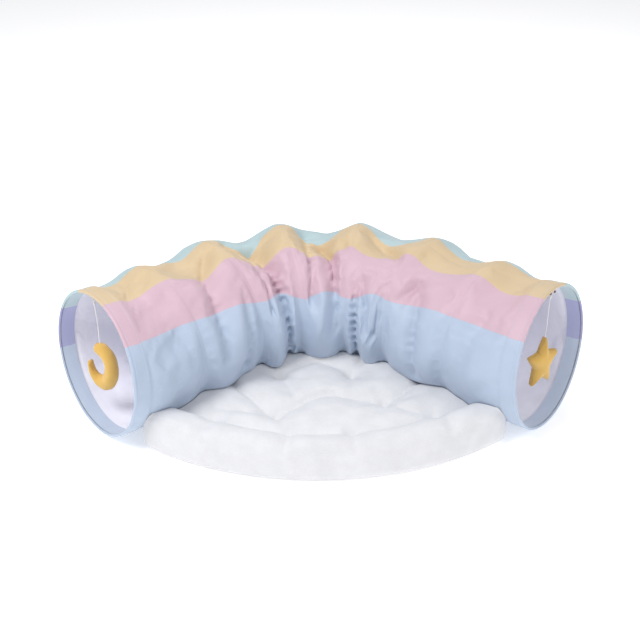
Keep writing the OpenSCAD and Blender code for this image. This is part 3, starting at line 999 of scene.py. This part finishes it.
def cushion_mesh(name, inset):
    """A closed cushion in the mat's outline, set in by `inset`, with its folds pressed into the top."""
    middle, rays = mat_outline(inset)
    rings, spokes = 64, len(rays)
    shares = 1 - (1 - np.linspace(0, 1, rings + 1)[1:]) ** 1.6
    xy = middle + rays[None] * shares[:, None, None]
    side_gap = from_centreline(xy) - MAT_SIDE - inset
    front_gap = from_front(xy) - inset
    at_end = np.clip(np.abs(xy[..., 0]) / END_AT, 0, 1) ** 2
    side_share = side_gap / ((12 - 5 * at_end) * MM)
    front_share = front_gap / ((24 - 14 * at_end) * MM)
    rounded = bulge(np.minimum(side_share, front_share), 1.0) ** 0.7
    under = bulge(np.minimum(side_gap, front_gap), 14 * MM)
    rounded[-1] = under[-1] = 0
    blend_in = 1 / (1 + np.exp(-(BOLSTER_DEPTH - from_front(xy)) / (5 * MM)))
    height = PAD_H + (BOLSTER_H - PAD_H + END_RISE * at_end) * blend_in - mat_folds(xy) - inset
    top = MAT_WAIST + (height - MAT_WAIST) * rounded
    low = MAT_BOTTOM + inset / 2
    bottom = low + (MAT_WAIST - low) * (1 - under)
    upper = np.concatenate([xy, top[..., None]], -1).reshape(-1, 3)
    lower = np.concatenate([xy[:-1], bottom[:-1, :, None]], -1).reshape(-1, 3)
    verts = np.concatenate([upper, lower, [[*middle, PAD_H - inset], [*middle, low]]])
    first_lower, top_pole, low_pole = len(upper), len(verts) - 2, len(verts) - 1

    def up(j, k):
        return j * spokes + k % spokes

    def down(j, k):
        return up(j, k) if j == rings - 1 else first_lower + j * spokes + k % spokes

    faces = []
    for j in range(rings - 1):
        for k in range(spokes):
            faces.append((up(j, k), up(j + 1, k), up(j + 1, k + 1), up(j, k + 1)))
            faces.append((down(j, k), down(j, k + 1), down(j + 1, k + 1), down(j + 1, k)))
    for k in range(spokes):
        faces.append((top_pole, up(0, k), up(0, k + 1)))
        faces.append((low_pole, down(0, k + 1), down(0, k)))
    return mesh_object(name, verts, faces)


def remesh(obj, voxel):
    """The object's mesh rebuilt in even quads."""
    modifier = obj.modifiers.new("remesh", "REMESH")
    modifier.mode, modifier.voxel_size = "VOXEL", voxel
    mesh = bpy.data.meshes.new_from_object(obj.evaluated_get(bpy.context.evaluated_depsgraph_get()))
    obj.modifiers.clear()
    obj.data = mesh
    return obj


def points_of(obj):
    co = np.zeros(len(obj.data.vertices) * 3)
    obj.data.vertices.foreach_get("co", co)
    return co.reshape(-1, 3)


def set_points(obj, co):
    obj.data.vertices.foreach_set("co", np.asarray(co, np.float32).ravel())
    obj.data.update()


def swell(obj, held, pressure, frames, cap):
    """Fills a closed cover with air as cloth. Some points are held, and none moves further than the cap."""
    start = points_of(obj)
    copy = link(bpy.data.objects.new("swelling", obj.data.copy()))
    group = copy.vertex_groups.new(name="held")
    group.add([int(i) for i in held], 1.0, "REPLACE")
    cloth = copy.modifiers.new("cloth", "CLOTH")
    s = cloth.settings
    s.vertex_group_mass = "held"
    s.use_pressure, s.uniform_pressure_force = True, pressure
    s.effector_weights.gravity = 0
    s.quality, s.mass = 5, 0.25
    s.tension_stiffness = s.compression_stiffness = 18
    s.shear_stiffness, s.bending_stiffness = 8, 0.4
    cloth.collision_settings.use_collision = False
    moved = run_cloth(copy, frames) - start
    size = np.linalg.norm(moved, axis=1, keepdims=True)
    set_points(obj, start + moved * np.minimum(1, cap / (size + 1e-9)))


def press_against(obj, grids, room):
    """Moves the points of obj that lie in the tunnel's fabric out of it, level, away from its centreline."""
    trees = []
    for grid in grids:
        rows, cols = grid.shape[:2]
        index = np.arange(rows * cols).reshape(rows, cols)
        nxt = np.roll(index, -1, 1)
        quads = np.stack([index[:-1], nxt[:-1], nxt[1:], index[1:]], -1).reshape(-1, 4).tolist()
        trees.append(BVHTree.FromPolygons(grid.reshape(-1, 3).tolist(), quads))
    co = points_of(obj)
    gap = np.linalg.norm(co[:, None, :2] - CENTRELINE, axis=-1)
    nearest, gap = CENTRELINE[gap.argmin(1)], gap.min(1)
    for i in np.flatnonzero(gap < NEAR_TUNNEL):
        away = np.append(co[i, :2] - nearest[i], 0)
        away /= np.linalg.norm(away)
        origin = np.append(nearest[i], co[i, 2])
        furthest = 0.0
        for tree in trees:
            hit = tree.ray_cast(Vector(origin + away * RAY_FROM), Vector(-away), RAY_FROM)
            if hit[0] is not None:
                furthest = max(furthest, RAY_FROM - hit[3])
        if furthest + room > gap[i]:
            co[i] = origin + away * (furthest + room)
    set_points(obj, co)


def smooth_points(obj, times, only):
    """Evens out chosen points of a mesh."""
    pairs = np.zeros(len(obj.data.edges) * 2, int)
    obj.data.edges.foreach_get("vertices", pairs)
    a, b = pairs.reshape(-1, 2).T
    co = points_of(obj)
    count = np.bincount(np.concatenate([a, b]), minlength=len(co))[:, None]
    for _ in range(times):
        total = np.zeros_like(co)
        np.add.at(total, a, co[b])
        np.add.at(total, b, co[a])
        co = np.where(only[:, None], 0.5 * co + 0.5 * total / count, co)
    set_points(obj, co)


def subdivided(obj):
    modifier = obj.modifiers.new("subdivision", "SUBSURF")
    modifier.levels = modifier.render_levels = 1
    mesh = bpy.data.meshes.new_from_object(obj.evaluated_get(bpy.context.evaluated_depsgraph_get()))
    obj.modifiers.clear()
    obj.data = mesh
    mesh.polygons.foreach_set("use_smooth", np.ones(len(mesh.polygons), bool))
    return obj


def mat(grids):
    """The quilted mat: its plush cover, swollen between its tufts, and the filling inside."""
    cover = remesh(cushion_mesh("mat_plush_cover", 0.0), 4.6 * MM)
    co = points_of(cover)
    on_top = co[:, 2] > MAT_WAIST
    tuft_gap = np.linalg.norm(co[:, None, :2] - TUFTS, axis=-1).min(1)
    seam_gap = np.abs(from_front(co[:, :2]) - BOLSTER_DEPTH)
    held = (on_top & ((tuft_gap < 6 * MM) | (seam_gap < 2.6 * MM))) | (co[:, 2] < MAT_BOTTOM + 1 * MM)
    swell(cover, np.flatnonzero(held), 4.0, 20, SWELL)
    press_against(cover, grids, 1.2 * MM)
    co = points_of(cover)
    near = from_centreline(co[:, :2]) < 0.150
    smooth_points(cover, 2, near & (co[:, 2] > 6 * MM))
    press_against(cover, grids, 0.9 * MM)
    co = points_of(cover)
    co[:, 2] = np.maximum(co[:, 2], MAT_BOTTOM)
    set_points(cover, co)
    paint(subdivided(cover), PLUSH_WHITE)
    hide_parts("mat_cover")
    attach(cover, "mat")
    filling = paint(cushion_mesh("mat_fibre_filling", 14 * MM), FILLING)
    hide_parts("pad_filling", "bolster_filling")
    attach(filling, "mat")
    tuft_threads(cover)
    mat_base_cloth()


def mat_base_cloth():
    """The mat's own bottom layer: a thin cloth in its outline, on the floor."""
    middle, rays = mat_outline(12 * MM)
    spokes = len(rays)
    heights = (0.2 * MM, 1.3 * MM)
    verts = [(*(middle + ray), z) for z in heights for ray in rays] + [(*middle, z) for z in heights]
    faces = []
    for k in range(spokes):
        n = (k + 1) % spokes
        faces += [(2 * spokes, n, k), (2 * spokes + 1, spokes + k, spokes + n)]
        faces.append((k, n, spokes + n, spokes + k))
    base = paint(mesh_object("mat_base_cloth", verts, faces, smooth=False), BASE_CLOTH)
    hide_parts("mat_base")
    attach(base, "mat")


def tuft_threads(cover):
    """A short cross of quilting thread in each tuft, lying on the cover."""
    tree = BVHTree.FromObject(cover, bpy.context.evaluated_depsgraph_get())
    verts, faces = [], []
    sides = 8
    for n, tuft in enumerate(TUFTS):
        for turn in (0.4 + n, 0.4 + n + math.pi / 2):
            along = np.array((math.cos(turn), math.sin(turn), 0))
            path = []
            for t in np.linspace(-1, 1, 9):
                spot = np.append(tuft, 0) + along * t * 3.2 * MM
                hit = tree.ray_cast(Vector((spot[0], spot[1], 0.12)), Vector((0, 0, -1)))
                lift = 0.7 * MM * (1 - t**4) - 0.3 * MM
                path.append((spot[0], spot[1], hit[0].z + lift))
            base = len(verts)
            for p in path:
                for q in range(sides):
                    a = 2 * math.pi * q / sides
                    verts.append(np.array(p) + 0.45 * MM * (math.cos(a) * np.cross(along, (0, 0, 1))
                                                            + math.sin(a) * np.array((0, 0, 1))))
            for j in range(len(path) - 1):
                for q in range(sides):
                    a0, a1 = base + j * sides + q, base + j * sides + (q + 1) % sides
                    faces.append((a0, a0 + sides, a1 + sides, a1))
            faces.append(tuple(base + q for q in range(sides)))
            faces.append(tuple(base + (len(path) - 1) * sides + q for q in reversed(range(sides))))
    threads = paint(mesh_object("mat_tuft_threads", verts, faces), THREAD_WHITE)
    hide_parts("mat_tufts")
    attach(threads, "mat")


# ---- Toys ----
CORD_D = 1.6 * MM
LOOP_R = 5 * MM
STAR_HALF_T = 12 * MM
STAR_INNER = 0.53               # radius of the star's inner corners over that of its tips
KNOT_DROP = 12 * MM             # from the tab's eye to the middle of the knot


class Toy:
    """A toy's frame, found from its CAD solids: the cord hangs from the tab's eye to the toy's top."""

    def __init__(self, side):
        self.side = side
        self.name = "moon" if side == LEFT else "star"
        low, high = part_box(f"{self.name}_plush")
        cord_low, cord_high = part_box(f"{self.name}_cord")
        inward = rim(side)[1]
        out = np.array((-inward[0], -inward[1], 0))
        co = np.array([v.co for v in NODES[f"{self.name}_plush"].data.vertices], float)
        flat = co[:, :2] - co[:, :2].mean(0)
        normal = np.append(np.linalg.svd(flat, full_matrices=False)[2][1], 0)
        self.out = normal * np.sign(normal @ out)
        self.up = np.array((0, 0, 1.0))
        self.across = np.cross(self.up, self.out)
        if side == RIGHT:
            self.across = -self.across
        axis = [(a + b) / 2 for a, b in zip(cord_low, cord_high)]
        self.eye = np.array((axis[0], axis[1], cord_high[2] - CORD_D / 2))
        self.top = high[2]
        self.height = high[2] - low[2]
        self.axis = np.array((axis[0], axis[1]))
        self.width = float(np.ptp(co @ self.across))

    def place(self, x, y, z):
        """The place of a point given in the toy's frame: across, up from its top, and out of the mouth."""
        return np.array((*self.axis, self.top)) + x * self.across + y * self.up + z * self.out


def swept_tube(name, spine, sides_dir, out, wide, deep, sides=28, closed=False):
    """A tube along a spine with an elliptical section: `wide` towards sides_dir, `deep` towards out."""
    verts, faces = [], []
    n = len(spine)
    for p, d, w, h in zip(spine, sides_dir, wide, deep):
        for q in range(sides):
            a = 2 * math.pi * q / sides
            verts.append(p + d * w * math.cos(a) + out * h * math.sin(a))
    for j in range(n if closed else n - 1):
        for q in range(sides):
            a0, a1 = j * sides + q, j * sides + (q + 1) % sides
            b0, b1 = (j + 1) % n * sides + q, (j + 1) % n * sides + (q + 1) % sides
            faces.append((a0, a1, b1, b0))
    if not closed:
        faces.append(tuple(reversed(range(sides))))
        faces.append(tuple((n - 1) * sides + q for q in range(sides)))
    obj = mesh_object(name, verts, faces)
    turn_faces_out(obj)
    return obj


def turn_faces_out(obj):
    bm = bmesh.new()
    bm.from_mesh(obj.data)
    bmesh.ops.recalc_face_normals(bm, faces=bm.faces)
    bm.to_mesh(obj.data)
    bm.free()


def ruffle(obj, height, scale, seed):
    """Slight unevenness of stuffed cloth."""
    co = points_of(obj)
    normals = np.array([v.normal for v in obj.data.vertices])
    lift = [height * noise.noise(Vector(p) * scale + Vector((seed, 0, 0))) for p in co]
    set_points(obj, co + normals * np.array(lift)[:, None])


def moon_shape(toy):
    """(spine points, directions from its middle, half-widths, half-depths) of a fat, narrow crescent."""
    r, narrow = toy.height / 2, toy.width / toy.height
    turn = np.radians(np.linspace(-190, 120, 96))
    toward = np.abs(turn - math.radians(-8)) / math.radians(165)
    half = 5.6 * MM + 13.0 * MM * np.cos(np.clip(toward, 0, 1) * math.pi / 2) ** 1.5
    half += 2.0 * MM * np.sin(np.clip(-turn / math.pi, 0, 1) * math.pi)
    reach = np.minimum(turn - turn[0], turn[-1] - turn) * (r - half)
    cap = np.sqrt(1 - (1 - np.clip(reach / (1.1 * half), 0, 1)) ** 2)
    radial = [narrow * math.cos(t) * toy.across + math.sin(t) * toy.up for t in turn]
    spine = [toy.place(0, -r, 0) + d * (r - h) for d, h in zip(radial, half)]
    size = np.array([np.linalg.norm(d) for d in radial])
    wide = np.maximum(half * cap * size, 0.3 * MM)
    deep = np.maximum(13.0 * MM * (half / half.max()) ** 0.5 * cap, 0.3 * MM)
    return spine, [d / q for d, q in zip(radial, size)], wide, deep


def star_radius(turn, r):
    """Distance of the star's outline from its middle: straight edges, blunt tips, one tip on top."""
    half = math.pi / 5
    from_tip = np.abs((turn - math.pi / 2 + half) % (2 * half) - half)
    across, drop = STAR_INNER * math.sin(half), 1 - STAR_INNER * math.cos(half)
    straight = across / (across * np.cos(from_tip) + drop * np.sin(from_tip))
    blunt = np.minimum(straight, 0.93 + 0.04 * np.cos(from_tip / half * math.pi))
    return r * blunt / blunt.max()


def star_mesh(toy):
    r = toy.height / (1 + math.cos(math.radians(36)))
    spokes, rings = 200, 26
    turn = 2 * math.pi * np.arange(spokes) / spokes
    narrow = toy.width / (2 * r * math.sin(math.radians(72)))
    outline = star_radius(turn, r)[:, None] * np.stack([narrow * np.cos(turn), np.sin(turn)], -1)
    shares = 1 - (1 - np.linspace(0, 1, rings + 1)[1:]) ** 1.7
    xy = outline[None] * shares[:, None, None]
    edge = np.linalg.norm(xy[:, :, None] - outline, axis=-1).min(-1)
    edge[-1] = 0
    height = STAR_HALF_T * bulge(edge, 17 * MM)
    verts, faces = [], []
    for sign in (1, -1):
        for j in range(rings):
            for k in range(spokes):
                verts.append(toy.place(xy[j, k, 0], xy[j, k, 1] - r, sign * height[j, k]))
        verts.append(toy.place(0, -r, sign * STAR_HALF_T))
    block = rings * spokes + 1

    def spot(half, j, k):
        return (0 if j == rings - 1 else half * block) + j * spokes + k % spokes

    for half in (0, 1):
        for j in range(rings - 1):
            for k in range(spokes):
                near = (spot(half, j, k), spot(half, j + 1, k))
                far = (spot(half, j + 1, k + 1), spot(half, j, k + 1))
                ring = near + far
                faces.append(ring if half == 0 else ring[::-1])
        for k in range(spokes):
            pole = (half + 1) * block - 1
            ring = (pole, spot(half, 0, k), spot(half, 0, k + 1))
            faces.append(ring if half == 0 else ring[::-1])
    verts = np.array(verts)
    used = sorted({i for f in faces for i in f})
    renumber = {old: new for new, old in enumerate(used)}
    obj = mesh_object("star_stuffed", verts[used], [tuple(renumber[i] for i in f) for f in faces])
    turn_faces_out(obj)
    return obj, [toy.place(x, y - r, 0) for x, y in outline]


def toy_seam(toy, line):
    """The sewn edge round a toy: a thin raised ridge that follows its outline."""
    line = np.array(line)
    along = np.roll(line, -1, 0) - np.roll(line, 1, 0)
    along /= np.linalg.norm(along, axis=1, keepdims=True) + 1e-12
    side = np.cross(along, toy.out)
    ridge = 0.55 * MM + 0.12 * MM * np.cos(np.arange(len(line)) * 2.1)
    seam = swept_tube(f"{toy.name}_seam", line, side, toy.out, ridge, ridge * 0.9, 8, closed=True)
    paint(seam, PLUSH_GOLD_SEAM)
    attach(seam, toy.name)


def moon(toy):
    spine, radial, wide, deep = moon_shape(toy)
    body = swept_tube("moon_stuffed", spine, radial, toy.out, wide, deep, 36)
    outer = [p + d * w for p, d, w in zip(spine, radial, wide)]
    inner = [p - d * w for p, d, w in zip(spine, radial, wide)]
    toy_seam(toy, outer[::2] + inner[::-2])
    return body


def star(toy):
    body, outline = star_mesh(toy)
    toy_seam(toy, outline)
    return body


def thread_curve(name, points, thick, cyclic=False):
    """A round cord as a curve through points."""
    data = bpy.data.curves.new(name, "CURVE")
    data.dimensions = "3D"
    data.bevel_depth = thick / 2
    data.bevel_resolution = 3
    data.use_fill_caps = True
    spline = data.splines.new("POLY")
    spline.points.add(len(points) - 1)
    for q, p in zip(spline.points, points):
        q.co = (*p, 1)
    spline.use_cyclic_u = cyclic
    return link(bpy.data.objects.new(name, data))


def knot_mesh(name, centre, across, size, seed):
    """A small overhand knot: two short turns of cord drawn tight round the hanging one."""
    up = np.array((0, 0, 1.0))
    other = np.cross(up, across)
    line = []
    for t in np.linspace(0, 1, 70):
        a = 2 * math.pi * (2.2 * t + seed)
        r = size * (0.62 + 0.12 * math.sin(3 * a))
        line.append(centre + r * (math.cos(a) * across + math.sin(a) * other)
                    + up * size * (0.75 - 1.5 * t + 0.25 * math.sin(2 * a)))
    line = np.array(line)
    along = np.gradient(line, axis=0)
    along /= np.linalg.norm(along, axis=1, keepdims=True)
    verts, faces, sides, thick = [], [], 10, 0.42 * size
    for p, d in zip(line, along):
        e0 = unit(np.cross(d, up + 0.01 * across))
        e1 = np.cross(d, e0)
        for q in range(sides):
            a = 2 * math.pi * q / sides
            verts.append(p + thick * (math.cos(a) * e0 + math.sin(a) * e1))
    for j in range(len(line) - 1):
        for q in range(sides):
            a0, a1 = j * sides + q, j * sides + (q + 1) % sides
            faces.append((a0, a1, a1 + sides, a0 + sides))
    faces.append(tuple(reversed(range(sides))))
    faces.append(tuple((len(line) - 1) * sides + q for q in range(sides)))
    obj = mesh_object(name, verts, faces)
    turn_faces_out(obj)
    return obj


def hanging(toy):
    """The cord, its loop through the tab's eye and its knot."""
    body = f"{toy.name}_cord"
    knot_at = toy.eye - KNOT_DROP * toy.up
    loop = []
    for a in np.linspace(0, 2 * math.pi, 40, endpoint=False):
        narrow = 0.55 + 0.45 * math.sin(a / 2) ** 2
        loop.append(toy.eye + toy.up * (-LOOP_R + LOOP_R * -math.cos(a)) * 1.08
                    + np.cross(toy.up, toy.across) * LOOP_R * 0.7 * math.sin(a) * narrow)
    loop_piece = paint(thread_curve(f"{toy.name}_cord_loop", loop, CORD_D, cyclic=True), STRING)
    knot = paint(knot_mesh(f"{toy.name}_cord_knot", knot_at, toy.across, 2.1 * MM, 0.1), STRING)
    bottom = toy.top - 3 * MM
    count = 28
    line = []
    for t in np.linspace(0, 1, count):
        z = knot_at[2] + (bottom - knot_at[2]) * t
        lean = 0.9 * MM * math.sin(math.pi * t) * math.sin(5 * t + toy.side)
        line.append(np.array((*toy.axis, z)) + toy.across * lean)
    cord = paint(thread_curve(f"{toy.name}_hanging_cord", line, CORD_D), STRING)
    for piece in (loop_piece, knot, cord):
        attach(piece, body)
    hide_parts(f"{toy.name}_cord")


def toys():
    for side, build in ((LEFT, moon), (RIGHT, star)):
        toy = Toy(side)
        body = build(toy)
        ruffle(body, 0.9 * MM, 70, 5.0)
        paint(body, PLUSH_GOLD)
        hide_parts(f"{toy.name}_plush")
        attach(body, toy.name)
        hanging(toy)
        paint(NODES[f"{toy.name}_tab"], TAPE)
        if side == RIGHT:
            for n, (x, z) in enumerate(((-4.5, -1.5), (4.5, -3.0))):
                at = toy.eye + toy.across * x * MM + toy.up * z * MM + toy.out * 3.2 * MM
                knot = knot_mesh(f"star_tab_knot_{n + 1}", at, toy.across, 1.9 * MM, 0.3 * n)
                paint(knot, KNOT_BROWN)
                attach(knot, "star_tab")


# ---- Carried-over CAD pieces ----
def carried_over():
    for i in (2, 3, 4, 5):
        paint(NODES[f"loop_patch_{i}"], TAPE)
    paint(NODES["mat_tabs"], TAPE)


camera()
studio()
toys()
covers = tunnel()
mat(covers)
carried_over()
